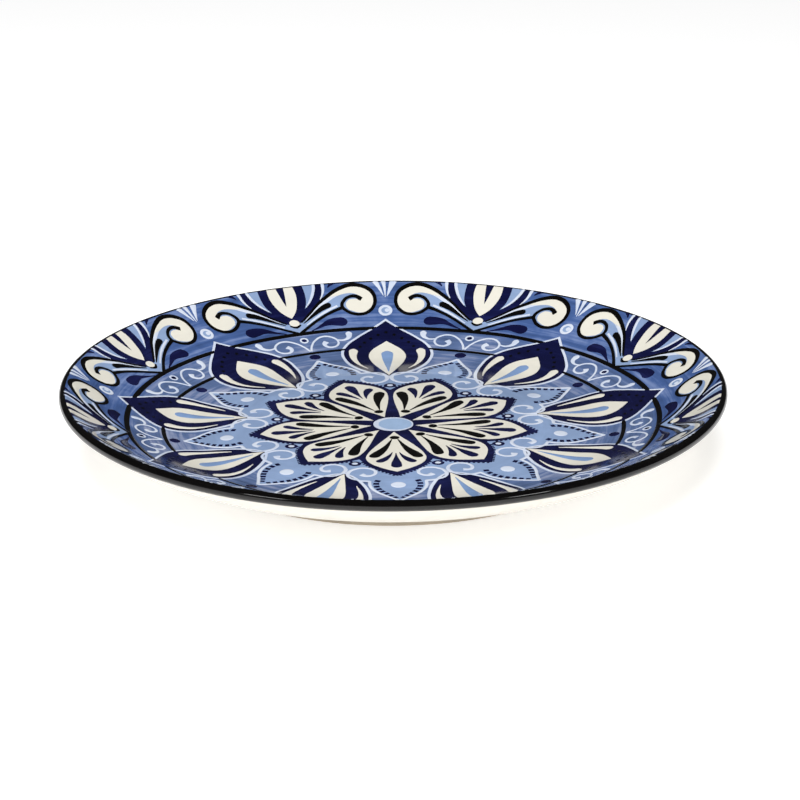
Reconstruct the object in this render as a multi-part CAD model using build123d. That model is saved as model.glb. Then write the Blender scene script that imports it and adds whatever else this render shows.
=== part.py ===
from build123d import *

import os
from math import atan2, cos, hypot, pi, radians, sin

# Hand painted ceramic plate.
#
# One thrown and fired clay body with a turned foot, and the coats that a potter
# lays on it: a clear glaze outside, a blue wash inside, a black band on the lip
# and nine repeats of brushed and trailed colours on the face.
#
# Millimetres, +Z up. The origin is the centre of the circle on which the foot
# stands. A leaf of the pattern points along +Y and a flower petal along -Y.

# Driving dimensions
PLATE_RADIUS = 135.0
LIP_RADIUS = 2.1              # roundness of the lip, coats included
LIP_HEIGHT = 28.2             # centre of the lip's round section
WALL_TILT = radians(30)       # lean of the wall where it meets the lip
FOOT_OUTER_RADIUS = 82.0
FOOT_INNER_RADIUS = 75.5
BASE_HEIGHT = 5.0             # underside of the well, inside the foot
BARE_FOOT_HEIGHT = 2.2        # the foot is left unglazed below this
BASE_GLAZE_MARGIN = 2.5       # the base glaze stops this far inside the foot
FOOT_ROUNDING = 0.8           # bevel of the foot's two bottom edges
FOOT_DRAFT = 1.5              # how far the foot's inner side leans in
COAT = 0.5                    # wash and paint together, and the other glazes
PAINT = 0.2                   # painted colours, laid on the wash

REPEATS = 9
STEP_ANGLE = 360 / REPEATS

# Inside face from the centre of the well to the wall, radius and height
FACE = [(0, 13.4), (60, 12.6), (80, 11.9), (92, 13.3), (104, 16.3), (114, 19.7), (124, 24.9)]
# Outside from under the lip to the foot
OUTSIDE = [(126, 20.9), (115, 14.9), (104, 10.4), (92, 7.2), (85, 5.6)]

LIP_CENTRE = (PLATE_RADIUS - LIP_RADIUS, LIP_HEIGHT)
LIP_TOP = pi / 2              # where the painted face ends and the black band starts


# Profiles, drawn as radius and height in the XZ plane

def lip_point(angle, depth):
    """A point of the lip's round section, depth below its painted surface."""
    reach = LIP_RADIUS - depth
    return (LIP_CENTRE[0] + reach * cos(angle), LIP_CENTRE[1] + reach * sin(angle))


def face_line(depth):
    """The inside face up to the top of the lip, depth below the painted surface."""
    lip = [lip_point(angle, depth) for angle in (LIP_TOP + WALL_TILT, LIP_TOP + WALL_TILT / 2, LIP_TOP)]
    points = [(r, z - depth) for r, z in FACE] + lip
    return Spline(*points, tangents=[(1, -0.01), (1, 0)])


def lip_arc(depth):
    """The lip's round section, from its top over to the outside."""
    angles = (LIP_TOP, WALL_TILT / 2, WALL_TILT - pi / 2)
    return ThreePointArc(*[lip_point(angle, depth) for angle in angles])


def outside_line(depth):
    """The outside of the wall, from under the lip to the root of the foot."""
    points = [lip_point(WALL_TILT - pi / 2, depth)] + [(r, z + depth) for r, z in OUTSIDE]
    return Spline(*points, tangents=[(-cos(WALL_TILT), -sin(WALL_TILT)), (-1, -0.1)])


def turned(*edges):
    """The solid of revolution about Z of a closed profile."""
    profile = make_face(edges)
    return revolve(Plane.XZ * profile, axis=Axis.Z)


def between(line, shallow, deep):
    """A coat that follows a line of the profile between two depths."""
    upper, lower = line(shallow), line(deep)
    return turned(upper, lower, Line(upper @ 0, lower @ 0), Line(upper @ 1, lower @ 1))


def clay_body():
    """Well, wall, lip and foot in fired clay, without the coats."""
    face, lip, wall = face_line(COAT), lip_arc(COAT), outside_line(COAT)
    base = BASE_HEIGHT + COAT
    foot = Polyline(
        wall @ 1,
        (FOOT_OUTER_RADIUS - COAT, OUTSIDE[-1][1] - 1),
        (FOOT_OUTER_RADIUS - COAT, FOOT_ROUNDING),
        (FOOT_OUTER_RADIUS - COAT - FOOT_ROUNDING, 0),
        (FOOT_INNER_RADIUS + FOOT_ROUNDING, 0),
        (FOOT_INNER_RADIUS, FOOT_ROUNDING),
        (FOOT_INNER_RADIUS - FOOT_DRAFT, base),
        (0, base),
        (0, FACE[0][1] - COAT),
    )
    return turned(face, lip, wall, foot)


def outside_glaze():
    """Cream glaze over the outside of the wall and the top of the foot."""
    outer, inner = outside_line(0), outside_line(COAT)
    root = OUTSIDE[-1][1] - 1
    outer_foot = Polyline(outer @ 1, (FOOT_OUTER_RADIUS, root), (FOOT_OUTER_RADIUS, BARE_FOOT_HEIGHT))
    inner_foot = Polyline(
        inner @ 1,
        (FOOT_OUTER_RADIUS - COAT, root),
        (FOOT_OUTER_RADIUS - COAT, BARE_FOOT_HEIGHT),
    )
    return turned(
        outer, inner, outer_foot, inner_foot,
        Line(outer @ 0, inner @ 0), Line(outer_foot @ 1, inner_foot @ 1),
    )


def base_glaze():
    """Cream glaze under the well, inside the foot."""
    return Pos(Z=BASE_HEIGHT + COAT / 2) * Cylinder(FOOT_INNER_RADIUS - BASE_GLAZE_MARGIN, COAT)


# Outlines of the painted colours, seen from above

def blade(*half):
    """A face with mirrored sides; half runs up one side from base to tip."""
    right = Spline(*half)
    return make_face([*right.edges(), *mirror(right, about=Plane.YZ).edges()])


def ring(centre, outer, inner):
    return Pos(*centre) * (Circle(outer) - Circle(inner))


def drop(head, radius, tip, bend=0.0):
    """A brush stroke with a round head that thins to a tip, bowed by bend."""
    hx, hy = head
    run = (tip[0] - hx, tip[1] - hy)
    length = hypot(*run)
    along = (run[0] / length, run[1] / length)
    side = (-along[1], along[0])

    def spot(forward, sideways):
        return (
            hx + forward * along[0] + sideways * side[0],
            hy + forward * along[1] + sideways * side[1],
        )

    cap = ThreePointArc(spot(0, radius), spot(-radius, 0), spot(0, -radius))
    half_way = length / 2
    edge_one = Spline(spot(0, -radius), spot(half_way, bend - radius * 0.45), tip)
    edge_two = Spline(spot(0, radius), spot(half_way, bend + radius * 0.45), tip)
    return make_face([cap, edge_one, edge_two])


def ribbon(path, widths):
    """A face of changing width along a path of points."""
    left, right = [], []
    last = len(path) - 1
    for index, ((x, y), width) in enumerate(zip(path, widths)):
        before, after = path[max(index - 1, 0)], path[min(index + 1, last)]
        heading = atan2(after[1] - before[1], after[0] - before[0])
        across = (-sin(heading) * width / 2, cos(heading) * width / 2)
        left.append((x + across[0], y + across[1]))
        right.append((x - across[0], y - across[1]))
    edges = [Spline(*left), Spline(*right), Line(left[0], right[0]), Line(left[-1], right[-1])]
    return make_face(edges)


def spiral(centre, start_radius, end_radius, start, end, count):
    """Points of a spiral between two angles in degrees."""
    points = []
    for index in range(count):
        share = index / (count - 1)
        radius = start_radius + (end_radius - start_radius) * share
        angle = radians(start + (end - start) * share)
        points.append((centre[0] + radius * cos(angle), centre[1] + radius * sin(angle)))
    return points


def tapering(count, start, end):
    return [start + (end - start) * index / (count - 1) for index in range(count)]


# From outlines to raised colours

PAINT_SHELL = between(face_line, 0, PAINT)
EVEN = 0                      # a repeat that stands on a leaf's line, +Y
ODD = STEP_ANGLE / 2          # a repeat that stands on a petal's line


def painted(outline):
    """An outline pressed through the layer of paint, as separate solids."""
    prism = extrude(outline, amount=PLATE_RADIUS / 4)
    return (prism & PAINT_SHELL).solids()


def around(solids, offset, mirrored=False):
    """Nine turns of the solids, with their mirror images where wanted."""
    one = list(solids)
    if mirrored:
        one += [solid.mirror(Plane.YZ) for solid in solids]
    turns = [Rot(Z=offset + STEP_ANGLE * index) for index in range(REPEATS)]
    return [turn * solid for turn in turns for solid in one]


# The flower in the well

CENTRE_RADIUS = 8.3
PETAL = blade((0, 9.5), (5.6, 19), (10.2, 30), (11.6, 38), (8.6, 46), (0, 54.5))
PETAL_EDGE = blade((0, 7), (7.0, 17), (12.1, 29), (13.3, 38), (10.4, 47), (0, 58.5))
EYE = Pos(0, 16.2) * Circle(1.6)
SHORT_DROPS = [drop((0, 47.6), 1.9, (0, 31)), drop((5.2, 42.9), 1.7, (0.9, 31.5), 0.7)]
LONG_DROP = drop((7.8, 36.8), 2.4, (1.4, 18.6), 1.4)


def flower():
    mirror_drop = mirror(SHORT_DROPS[1], about=Plane.YZ)
    mirror_long = mirror(LONG_DROP, about=Plane.YZ)
    centre = Circle(CENTRE_RADIUS)
    petal = PETAL - EYE - SHORT_DROPS[0] - SHORT_DROPS[1] - mirror_drop - LONG_DROP - mirror_long
    edge = PETAL_EDGE
    for turn in (-STEP_ANGLE, STEP_ANGLE):
        edge = edge + Rot(Z=turn) * PETAL_EDGE
    for turn in (-STEP_ANGLE, 0, STEP_ANGLE):
        edge = edge - Rot(Z=turn) * PETAL
    edge = (edge - centre) & sector(70)
    return {
        "flower_centre": painted(centre),
        "flower_ground": around(painted(edge), ODD),
        "flower_petals": around(painted(petal), ODD),
        "petal_eyes": around(painted(EYE), ODD),
        "petal_short_strokes": around(painted(SHORT_DROPS[0]), ODD)
        + around(painted(SHORT_DROPS[1]), ODD, mirrored=True),
        "petal_long_strokes": around(painted(LONG_DROP), ODD, mirrored=True),
    }


def sector(reach):
    """One repeat's wedge about +Y."""
    half = radians(STEP_ANGLE / 2)
    side = reach * sin(half), reach * cos(half)
    return make_face(Polyline((0, 0), side, (-side[0], side[1]), close=True).edges())


# The wash round the flower, with its lappets, pearls and curls

LAPPET_EDGE = blade((0, 52), (8.5, 56), (10.2, 64), (8.8, 73), (0, 87))
LAPPET = blade((0, 53.5), (7.4, 57), (9.1, 64), (7.7, 72), (0, 84.5))
PEARL = Pos(0, 68) * Circle(2.9)
RINGLET_HEIGHT = 47.8
CURL_PATH = spiral((5.9, 56.6), 4.4, 1.0, 250, -250, 18)


def medallion():
    curl = ribbon(CURL_PATH, tapering(len(CURL_PATH), 1.3, 1.0))
    ringlet = (0, RINGLET_HEIGHT)
    return {
        "lappets": around(painted(LAPPET - PEARL - PETAL_EDGE), ODD),
        "lappet_outlines": around(painted(LAPPET_EDGE - LAPPET - PETAL_EDGE), ODD),
        "lappet_pearls": around(painted(PEARL), ODD),
        "lappet_top_dots": around(painted(Pos(0, 90) * Circle(2.3)), ODD),
        "ringlets": around(painted(ring(ringlet, 2.4, 1.1)), EVEN),
        "curls": around(painted(curl), EVEN, mirrored=True),
    }


# The leaves

LEAF_EDGE = blade((0, 58.6), (8.5, 64.3), (17.2, 78), (19.4, 88.5), (16.6, 97), (0, 113.8))
LEAF = blade((0, 60.2), (7.6, 66), (15.9, 78.8), (18.0, 88.5), (15.2, 96.5), (0, 111.8))
HEART = blade((0, 60.8), (3.0, 68.5), (6.9, 79), (7.7, 86), (5.9, 92), (0, 98))
HEART_DROP = drop((0, 86.6), 2.7, (0, 64))
LEAF_STROKE = drop((14.1, 90.3), 1.9, (8.6, 70.5), 2.2)


def leaves():
    strokes = LEAF_STROKE + mirror(LEAF_STROKE, about=Plane.YZ)
    return {
        "leaf_outlines": around(painted(LEAF_EDGE - LEAF), EVEN),
        "leaves": around(painted(LEAF - HEART - strokes), EVEN),
        "leaf_hearts": around(painted(HEART - HEART_DROP), EVEN),
        "leaf_heart_drops": around(painted(HEART_DROP), EVEN),
        "leaf_strokes": around(painted(LEAF_STROKE), EVEN, mirrored=True),
    }


# The two black lines round the plate and the scrolls between them

def line_between_leaves(radius, width):
    """One repeat of a circle, cut where the leaves lie over it."""
    arc = ring((0, 0), radius + width / 2, radius - width / 2) & sector(140)
    for turn in (-STEP_ANGLE / 2, STEP_ANGLE / 2):
        arc = arc - Rot(Z=turn) * LEAF_EDGE
    return arc


def ring_scroll():
    """Right half of a white scroll that springs from the inner line."""
    stem = [(0.5, 95.2), (1.8, 99.0), (4.6, 102.2)]
    bow = spiral((8.8, 99.0), 4.7, 2.6, 115, -150, 12)
    path = stem + bow
    return ribbon(path, [0.9] * len(path))


def lines():
    scroll = ring_scroll()
    tail = drop((20.0, 102.8), 1.6, (14.6, 99.0), -1.2)
    return {
        "inner_line": around(painted(line_between_leaves(93.3, 1.5)), ODD),
        "outer_line": around(painted(line_between_leaves(108.0, 1.9)), ODD),
        "ring_scrolls": around(painted(scroll), ODD, mirrored=True),
        "ring_scroll_tails": around(painted(tail), ODD, mirrored=True),
    }


# The rim zone: palmettes, scrolls, commas and beads

BEAD = Pos(0, 115.0) * Ellipse(2.3, 1.7)
PALMETTE_REACH = 132.2
SCROLL_PATH = [
    (2.6, 111.9), (8.6, 116.2), (14.8, 119.9), (21.0, 122.5), (26.6, 124.3), (31.6, 124.3),
    (35.3, 121.9), (36.2, 118.0), (33.8, 115.1), (30.0, 115.1), (27.6, 117.4),
]
SCROLL_WIDTHS = [1.6, 4.2, 5.8, 6.0, 5.4, 5.6, 5.6, 5.8, 5.4, 4.8, 3.4]


def palmette_petal(inner, outer, root):
    """A fan petal between two widths at the lip, pointed at its root."""
    top = PALMETTE_REACH
    edges = [
        Spline(root, ((inner + root[0]) / 2 - 0.6, (top + root[1]) / 2), (inner, top)),
        Line((inner, top), (outer, top)),
        Spline((outer, top), ((outer + root[0]) / 2 + 0.6, (top + root[1]) / 2), root),
    ]
    return make_face(edges)


def rim():
    tulip = palmette_petal(1.7, 5.9, (0, 117.6))
    second = palmette_petal(10.3, 14.6, (7.8, 121.8))
    comma = drop((19.7, 111.4), 2.5, (5.6, 109.4), -1.6)
    ray = palmette_petal(2.2, 4.6, (1.2, 127.0))
    scroll = ribbon(SCROLL_PATH, SCROLL_WIDTHS)
    return {
        "palmette_hearts": around(painted(tulip), ODD, mirrored=True),
        "palmette_petals": around(painted(second), ODD, mirrored=True),
        "palmette_beads": around(painted(BEAD), ODD),
        "rim_scrolls": around(painted(scroll), ODD, mirrored=True),
        "rim_commas": around(painted(comma), ODD, mirrored=True),
        "rim_beads": around(painted(Pos(0, 118.4) * Circle(2.8)), EVEN),
        "rim_rays": around(painted(ray), EVEN, mirrored=True),
    }


def coats():
    """The body and the coats that go all the way round."""
    return {
        "clay_body": [clay_body()],
        "outside_glaze": [outside_glaze()],
        "base_glaze": [base_glaze()],
        "face_wash": [between(face_line, PAINT, COAT)],
        "lip_band": [between(lip_arc, 0, COAT)],
    }


def main():
    os.makedirs("parts", exist_ok=True)
    nodes = coats() | flower() | medallion() | leaves() | lines() | rim()
    for name, solids in nodes.items():
        export_step(Compound(children=[Compound(solids)]), f"parts/{name}.step")


main()
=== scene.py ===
"""Looks of a hand painted ceramic plate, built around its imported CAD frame.

The pattern has nine repeats. A repeat is drawn flat, in millimetres, seen from
above with its middle line along +Y, then laid on the plate's turned face. What
stands on a leaf's line is turned by EVEN, and what stands on a petal's by ODD.
"""
from math import cos, degrees, hypot, pi, radians, sin, sqrt, tanh

import bmesh
import bpy
from bpy.props import FloatProperty, FloatVectorProperty, IntProperty, PointerProperty
from mathutils import Matrix, Vector, noise


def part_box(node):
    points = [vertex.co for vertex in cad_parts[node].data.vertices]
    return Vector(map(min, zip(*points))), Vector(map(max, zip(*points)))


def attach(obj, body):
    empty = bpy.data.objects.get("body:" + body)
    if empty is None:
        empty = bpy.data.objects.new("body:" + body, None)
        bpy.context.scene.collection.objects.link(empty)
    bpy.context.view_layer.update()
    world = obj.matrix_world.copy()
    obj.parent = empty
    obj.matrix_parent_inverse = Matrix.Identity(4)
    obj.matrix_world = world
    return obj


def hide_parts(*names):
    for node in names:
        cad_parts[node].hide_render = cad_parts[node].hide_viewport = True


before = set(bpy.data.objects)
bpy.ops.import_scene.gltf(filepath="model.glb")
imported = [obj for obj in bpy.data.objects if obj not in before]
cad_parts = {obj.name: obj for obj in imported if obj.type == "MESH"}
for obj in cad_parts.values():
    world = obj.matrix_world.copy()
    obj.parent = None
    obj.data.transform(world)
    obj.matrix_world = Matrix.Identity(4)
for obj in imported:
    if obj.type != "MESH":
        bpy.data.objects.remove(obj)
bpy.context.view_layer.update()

bl_info = {
    "name": "Hand painted plate",
    "version": (1, 0, 0),
    "blender": (4, 5, 0),
    "location": "View3D > Sidebar > Plate",
    "description": "Turns, glazes and paints a ceramic plate around its CAD frame",
    "category": "Object",
}

BODY = "root"
MM = 0.001

REPEATS = 9
STEP_ANGLE = 360 / REPEATS
EVEN = 0
ODD = STEP_ANGLE / 2

# The turned profile, millimetres: radius and height
PLATE_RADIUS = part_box("lip_band")[1].x / MM
FACE = [
    (0, 13.4), (30, 13.2), (60, 12.6), (80, 11.9), (92, 13.3),
    (104, 16.3), (114, 19.7), (124, 24.9), (131.85, 30.02), (132.9, 30.3),
]
OUTSIDE = [(126, 20.9), (115, 14.9), (104, 10.4), (92, 7.2), (85, 5.6)]
WALL_TILT = radians(30)
COAT = 0.5
LIP_HEIGHT = 28.2
LIP_RADIUS = 2.1
FOOT_OUTER = 82.0
FOOT_INNER = 75.5
BARE_FOOT = 2.2
BASE_HEIGHT = 5.0
PAINT_EDGE = 133.0            # where the painted face runs under the lip band


# Sizes and colours that a user would change

class PlateSizes(bpy.types.PropertyGroup):
    """How finely the plate is turned and how thick its colours lie."""

    turns: IntProperty(
        name="Turning steps", description="Flat steps round the plate", default=540, min=90)
    paint_rise: FloatProperty(
        name="Paint rise", description="How far a full brush stroke stands up, in millimetres",
        default=0.11, min=0.02, max=0.5)
    wander: FloatProperty(
        name="Hand wander", description="How far the hand strays from the pattern, in millimetres",
        default=0.55, min=0.0, max=2.0)


def colour(name, text, value):
    """A colour property with its default, in linear light."""
    return FloatVectorProperty(
        name=name, description=text, subtype="COLOR", size=4, min=0, max=1, default=(*value, 1))


class PlateColours(bpy.types.PropertyGroup):
    """The potter's palette."""

    wash: colour("Wash", "Brushed ground of the whole face", (0.0673, 0.1286, 0.333))
    pale_wash: colour("Pale wash", "Thinner ground inside the black circles", (0.115, 0.178, 0.357))
    light_blue: colour("Light blue", "Medallion and scroll shading", (0.272, 0.377, 0.594))
    drop_blue: colour("Drop blue", "Drops in the leaf hearts", (0.213, 0.333, 0.575))
    centre_blue: colour("Centre blue", "Disc in the middle of the flower", (0.363, 0.505, 0.734))
    navy: colour("Navy", "Leaves, flower ground and commas", (0.005, 0.0065, 0.045))
    black: colour("Black", "Lip, circles, outlines and long strokes", (0.0025, 0.0022, 0.0022))
    cream: colour("Cream", "Flower petals, leaf hearts and palmettes", (0.84, 0.81, 0.71))
    white: colour("Trailed white", "White lines, curls and pearls", (0.70, 0.76, 0.88))
    glaze: colour("Outside glaze", "Cream glaze of the underside", (0.76, 0.725, 0.65))
    clay: colour("Clay", "Bare fired clay of the foot", (0.56, 0.485, 0.39))


# The face as a formula

def face_height(radius):
    """Height of the inside face at a radius, by a smooth curve through FACE."""
    spots = FACE
    if radius > spots[-2][0]:
        across = min(radius, PAINT_EDGE) - (PLATE_RADIUS - LIP_RADIUS)
        return LIP_HEIGHT + sqrt(LIP_RADIUS ** 2 - across ** 2)
    index = next(i for i in range(len(spots) - 1) if radius < spots[i + 1][0])
    (r0, z0), (r1, z1) = spots[index], spots[index + 1]
    span = r1 - r0

    def slope(i):
        low, high = spots[max(i - 1, 0)], spots[min(i + 1, len(spots) - 1)]
        return 0.0 if i == 0 else (high[1] - low[1]) / (high[0] - low[0])

    t = (radius - r0) / span
    start, end = slope(index) * span, slope(index + 1) * span
    return (
        (2 * t ** 3 - 3 * t ** 2 + 1) * z0 + (t ** 3 - 2 * t ** 2 + t) * start
        + (3 * t ** 2 - 2 * t ** 3) * z1 + (t ** 3 - t ** 2) * end
    )


def sizes():
    return bpy.context.scene.plate_sizes


def colours():
    return bpy.context.scene.plate_colours


# Turning

def lip_point(angle, depth):
    """A point of the lip's round section, depth below its surface."""
    reach = LIP_RADIUS - depth
    return (PLATE_RADIUS - LIP_RADIUS + reach * cos(angle), LIP_HEIGHT + reach * sin(angle))


def lip_arc(depth, first=90 + degrees(WALL_TILT), last=degrees(WALL_TILT) - 90, count=24):
    """The lip's round section between two angles, from the inside over to the outside."""
    return [lip_point(radians(first + (last - first) * i / count), depth) for i in range(count + 1)]


def face_line(depth, last, step=2.0):
    """The inside face from the axis out to a radius."""
    count = int(last / step)
    return [(last * i / count, face_height(last * i / count) - depth) for i in range(count + 1)]


def smooth_line(points, count=8):
    """Points on a smooth curve through the given ones, count to a span."""
    line = []
    last = len(points) - 1
    for i in range(last):
        p0, p1, p2, p3 = (Vector(points[min(max(i + k, 0), last)]) for k in (-1, 0, 1, 2))
        for j in range(count):
            t = j / count
            line.append(tuple(0.5 * (
                2 * p1 + (p2 - p0) * t + (2 * p0 - 5 * p1 + 4 * p2 - p3) * t ** 2
                + (3 * p1 - 3 * p2 + p3 - p0) * t ** 3)))
    return line + [tuple(points[-1])]


def outside_line(depth):
    """The outside of the wall, from under the lip to the root of the foot."""
    below_lip = lip_point(WALL_TILT - pi / 2, depth)
    return smooth_line([below_lip] + [(r, z + depth) for r, z in OUTSIDE])


def turned(outline, closed=True):
    """A solid of revolution: the outline spun a full turn about Z."""
    bm = bmesh.new()
    verts = [bm.verts.new((r, 0, z)) for r, z in outline]
    edges = [bm.edges.new(pair) for pair in zip(verts, verts[1:])]
    if closed:
        edges.append(bm.edges.new((verts[-1], verts[0])))
    bmesh.ops.spin(
        bm, geom=verts + edges, cent=(0, 0, 0), axis=(0, 0, 1), dvec=(0, 0, 0),
        angle=2 * pi, steps=sizes().turns, use_merge=True)
    bmesh.ops.remove_doubles(bm, verts=bm.verts, dist=0.0005)
    loose = [edge for edge in bm.edges if not edge.link_faces]
    bmesh.ops.delete(bm, geom=loose, context="EDGES")
    bmesh.ops.recalc_face_normals(bm, faces=bm.faces)
    return bm


# Finishing a piece

def finish_piece(bm, name, material, nodes, sharp=35):
    """Millimetres become metres, and the mesh becomes a piece on the body."""
    bmesh.ops.scale(bm, verts=bm.verts, vec=(MM, MM, MM))
    for face in bm.faces:
        face.smooth = True
    mesh = bpy.data.meshes.new(name)
    bm.to_mesh(mesh)
    bm.free()
    mesh.set_sharp_from_angle(angle=radians(sharp))
    piece = bpy.data.objects.new(name, mesh)
    bpy.context.scene.collection.objects.link(piece)
    mesh.materials.append(material)
    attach(piece, BODY)
    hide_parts(*nodes)
    return piece


# Drawing a repeat

def shared(bm, other):
    """Adds one bmesh to another and frees the first."""
    mesh = bpy.data.meshes.new("shared")
    other.to_mesh(mesh)
    other.free()
    bm.from_mesh(mesh)
    bpy.data.meshes.remove(mesh)


def curve_mesh(curve):
    """A bmesh of a curve, with its seams closed."""
    holder = bpy.data.objects.new("outline", curve)
    mesh = bpy.data.meshes.new_from_object(holder)
    bm = bmesh.new()
    bm.from_mesh(mesh)
    bpy.data.objects.remove(holder)
    bpy.data.meshes.remove(mesh)
    bpy.data.curves.remove(curve)
    bmesh.ops.remove_doubles(bm, verts=bm.verts, dist=0.002)
    bmesh.ops.recalc_face_normals(bm, faces=bm.faces)
    return bm


CUT = 3.0                     # a painted shape is cut this fine, so that it follows the face
SKIRT = 0.3                   # how deep a painted shape reaches into the coat under it


def filled(*outlines, smooth=10):
    """A flat closed plate of an outline; later outlines cut holes in it.

    A point is (x, y), or (x, y, 0) where the outline turns a sharp corner.
    """
    curve = bpy.data.curves.new("outline", "CURVE")
    curve.dimensions = "2D"
    curve.fill_mode = "BOTH"
    curve.extrude = SKIRT / 2
    curve.resolution_u = smooth
    for outline in outlines:
        spline = curve.splines.new("BEZIER")
        spline.bezier_points.add(len(outline) - 1)
        spline.use_cyclic_u = True
        for knot, point in zip(spline.bezier_points, outline):
            knot.co = (point[0], point[1], 0)
            kind = "VECTOR" if len(point) > 2 else "AUTO"
            knot.handle_left_type = knot.handle_right_type = kind
    bm = curve_mesh(curve)
    bmesh.ops.translate(bm, verts=bm.verts, vec=(0, 0, -SKIRT / 2))
    for axis in (0, 1):
        places = [vert.co[axis] for vert in bm.verts]
        place = (min(places) // CUT + 1) * CUT
        while place < max(places):
            normal = [0, 0, 0]
            normal[axis] = 1
            bmesh.ops.bisect_plane(
                bm, geom=bm.verts[:] + bm.edges[:] + bm.faces[:], dist=0.0001,
                plane_co=[place * part for part in normal], plane_no=normal)
            place += CUT
    return bm


def mirrored(half):
    """A closed outline from its right half, base to tip, both on the middle line."""
    left = [(-point[0], *point[1:]) for point in half[-2:0:-1]]
    return list(half) + left


ROUND_HEAD = ((0.5, 0.87), (0.87, 0.5), (0.98, 0.2))


def headed(path):
    """A stroke's path with a rounded head added before its first point."""
    (x0, y0, width), (x1, y1, _) = path[0], path[1]
    length = hypot(x0 - x1, y0 - y1)
    away = ((x0 - x1) / length, (y0 - y1) / length)
    head = [
        (x0 + away[0] * width / 2 * reach, y0 + away[1] * width / 2 * reach, width * share)
        for reach, share in reversed(ROUND_HEAD)
    ]
    return head + list(path)


def strokes(*paths, heads=True, closed=False, smooth=6):
    """Brush strokes and trails: rounded bodies along paths of (x, y, width)."""
    curve = bpy.data.curves.new("stroke", "CURVE")
    curve.dimensions = "3D"
    curve.bevel_depth = 0.5
    curve.bevel_resolution = 2
    curve.use_fill_caps = True
    curve.resolution_u = smooth
    for path in paths:
        points = headed(path) if heads else path
        spline = curve.splines.new("BEZIER")
        spline.bezier_points.add(len(points) - 1)
        spline.use_cyclic_u = closed
        for knot, (x, y, width) in zip(spline.bezier_points, points):
            knot.co = (x, y, 0)
            knot.radius = width
            knot.handle_left_type = knot.handle_right_type = "AUTO"
    bm = curve_mesh(curve)
    flatten(bm)
    return bm


PAD_LIFT = 0.04               # how far a pad's widest line stands clear of the coat under it


def flatten(bm):
    """Round bodies become low pads of paint with rounded edges."""
    rise = sizes().paint_rise
    for vert in bm.verts:
        height = vert.co.z
        vert.co.z = rise * tanh(height / (2.2 * rise)) + (PAD_LIFT if height > -PAD_LIFT else 0)


def dots(*spots, sides=20):
    """Round or oval pads of paint, each (x, y, radius along x, radius along y)."""
    bm = bmesh.new()
    for x, y, rx, ry in spots:
        made = bmesh.ops.create_uvsphere(bm, u_segments=sides, v_segments=8, radius=1)
        bmesh.ops.scale(bm, verts=made["verts"], vec=(rx, ry, min(rx, ry)))
        bmesh.ops.translate(bm, verts=made["verts"], vec=(x, y, 0))
    flatten(bm)
    return bm


def along(path, pitch):
    """Evenly spaced places on a path, each (x, y, heading x, heading y)."""
    line = smooth_line(path, 12)
    places = []
    want, gone = pitch / 2, 0.0
    for start, end in zip(line, line[1:]):
        length = hypot(end[0] - start[0], end[1] - start[1])
        while length and want <= gone + length:
            share = (want - gone) / length
            heading = ((end[0] - start[0]) / length, (end[1] - start[1]) / length)
            places.append((
                start[0] + (end[0] - start[0]) * share,
                start[1] + (end[1] - start[1]) * share, *heading))
            want += pitch
        gone += length
    return places


def ticks(path, pitch, wide, long, out=0.0):
    """Small square touches along a path, standing out of it by out."""
    bm = bmesh.new()
    for x, y, hx, hy in along(path, pitch):
        made = bmesh.ops.create_cube(bm, size=1)
        turn = Matrix(((hx, -hy, 0), (hy, hx, 0), (0, 0, 1)))
        bmesh.ops.scale(bm, verts=made["verts"], vec=(wide, long, 2 * sizes().paint_rise * 0.7))
        bmesh.ops.translate(bm, verts=made["verts"], vec=(0, out, 0))
        bmesh.ops.rotate(bm, verts=made["verts"], cent=(0, 0, 0), matrix=turn)
        bmesh.ops.translate(bm, verts=made["verts"], vec=(x, y, 0))
    return bm


def with_mirror(bm):
    """Adds the mirror image across the repeat's middle line."""
    made = bmesh.ops.duplicate(bm, geom=bm.verts[:] + bm.edges[:] + bm.faces[:])["geom"]
    verts = [item for item in made if isinstance(item, bmesh.types.BMVert)]
    faces = [item for item in made if isinstance(item, bmesh.types.BMFace)]
    bmesh.ops.scale(bm, verts=verts, vec=(-1, 1, 1))
    bmesh.ops.reverse_faces(bm, faces=faces)
    return bm


def nine_times(bm, offset):
    """Turns one repeat into nine, the first on +Y turned by offset."""
    whole = bmesh.new()
    one = bpy.data.meshes.new("repeat")
    bm.to_mesh(one)
    bm.free()
    for index in range(REPEATS):
        turn = Matrix.Rotation(radians(offset + STEP_ANGLE * index), 4, "Z")
        before = set(whole.verts)
        whole.from_mesh(one)
        bmesh.ops.transform(
            whole, matrix=turn, verts=[vert for vert in whole.verts if vert not in before])
    bpy.data.meshes.remove(one)
    return whole


WANDER_SPAN = 34.0            # the hand strays over about this distance
RIM_THIN = (128.5, 0.03)      # outside this radius the coats thin to this lift, to end under the lip band
FLOWER_SHIFT = -1.5           # the flower was painted this far off the plate's centre
FLOWER_FADE = (62, 24)        # the shift dies out inside this radius, over this distance


def laid(bm, lift):
    """Lays flat shapes on the plate's face, strayed a little by hand."""
    reach = sizes().wander
    for vert in bm.verts:
        x, y, z = vert.co
        radius = hypot(x, y)
        stray = noise.noise_vector(Vector((x, y, 0)) / WANDER_SPAN) * reach
        fade = min(1.0, max(0.0, (PAINT_EDGE + 2 - radius) / 6))
        off_centre = FLOWER_SHIFT * min(1.0, max(0.0, (FLOWER_FADE[0] - radius) / FLOWER_FADE[1]))
        x, y = x + stray.x * fade, y + stray.y * fade + off_centre
        over = max(1.0, hypot(x, y) / PAINT_EDGE)
        thin = min(1.0, max(0.0, (hypot(x, y) - RIM_THIN[0]) / (PAINT_EDGE - RIM_THIN[0])))
        rise = lift + (RIM_THIN[1] - lift) * thin
        vert.co = (x / over, y / over, face_height(hypot(x, y)) + rise + z)
    return bm


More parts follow.
